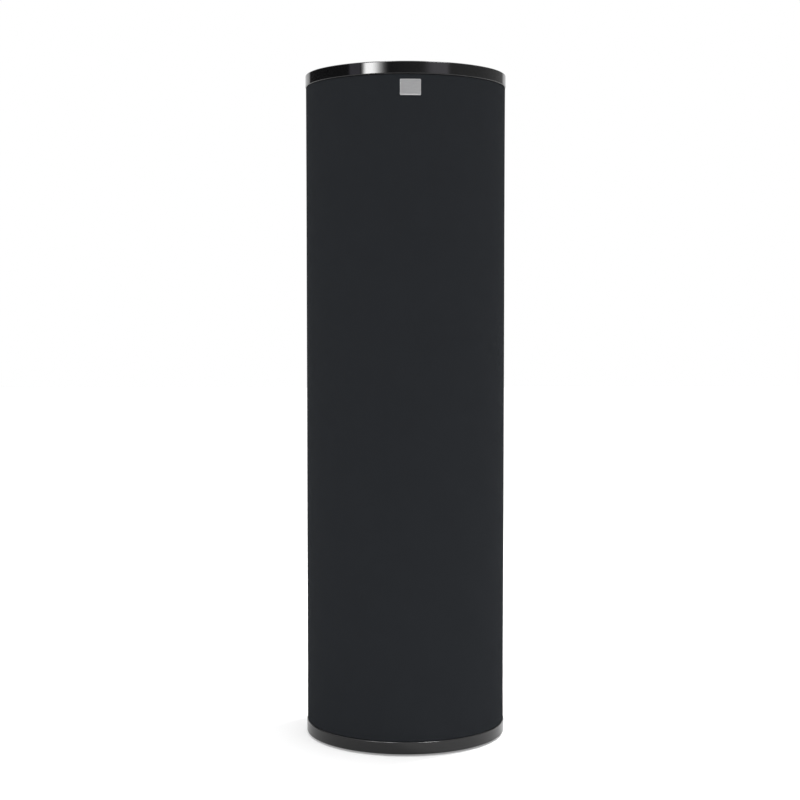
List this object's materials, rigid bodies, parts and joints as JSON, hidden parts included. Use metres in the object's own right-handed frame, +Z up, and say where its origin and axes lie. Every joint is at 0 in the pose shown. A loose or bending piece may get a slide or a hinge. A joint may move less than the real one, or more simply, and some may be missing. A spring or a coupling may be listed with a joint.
{
  "type": "cylindrical bass trap",
  "caption": "Free-standing round acoustic column: a mineral wool tube in a tight black fabric sleeve between glossy-edged end boards, on low rubber feet.",
  "frame": {"origin": "on the floor, under the column's axis", "axes": "+Z up along the column's axis, -Y to the front, where the badge is, +X to the right"},
  "size_m": [0.304, 0.304, 1.003],
  "materials": {
    "board_melamine": "black melamine-faced board, faintly pearled, half matt",
    "edge_band": "black ABS edge band, high gloss, rounded edges",
    "cover_fabric": "fine black polyester stretch knit, matt, acoustically open",
    "fleece": "thin off-white polyester fleece",
    "cloth_tape": "grey cloth tape",
    "reflector_plastic": "grey perforated plastic sheet, satin",
    "mineral_wool": "rigid mineral wool pipe section, fibrous",
    "pine": "planed pine, bare",
    "plywood": "birch plywood, bare",
    "zinc_steel": "zinc-plated steel",
    "cap_plastic": "black self-adhesive cap film",
    "foot_rubber": "black rubber, matt",
    "badge_adhesive": "black acrylic adhesive pad",
    "badge_aluminium": "brushed anodised aluminium, blank, with a raised border"
  },
  "bodies": {
    "root": {"bottom_board": "board_melamine", "top_board": "board_melamine", "bottom_edge_band": "edge_band", "top_edge_band": "edge_band", "fabric_cover": "cover_fabric", "fleece_wrap": "fleece", "core_tape_bands": "cloth_tape", "reflector_sheet": "reflector_plastic", "front_wool_shell": "mineral_wool", "rear_wool_shell": "mineral_wool", "front_upright": "pine", "right_upright": "pine", "rear_upright": "pine", "left_upright": "pine", "middle_baffle": "plywood", "top_board_screws": "zinc_steel", "bottom_board_screws": "zinc_steel", "baffle_screws": "zinc_steel", "top_screw_caps": "cap_plastic", "front_right_foot": "foot_rubber", "rear_right_foot": "foot_rubber", "rear_left_foot": "foot_rubber", "front_left_foot": "foot_rubber", "badge_adhesive": "badge_adhesive", "badge_plate": "badge_aluminium"}
  },
  "joints": []
}
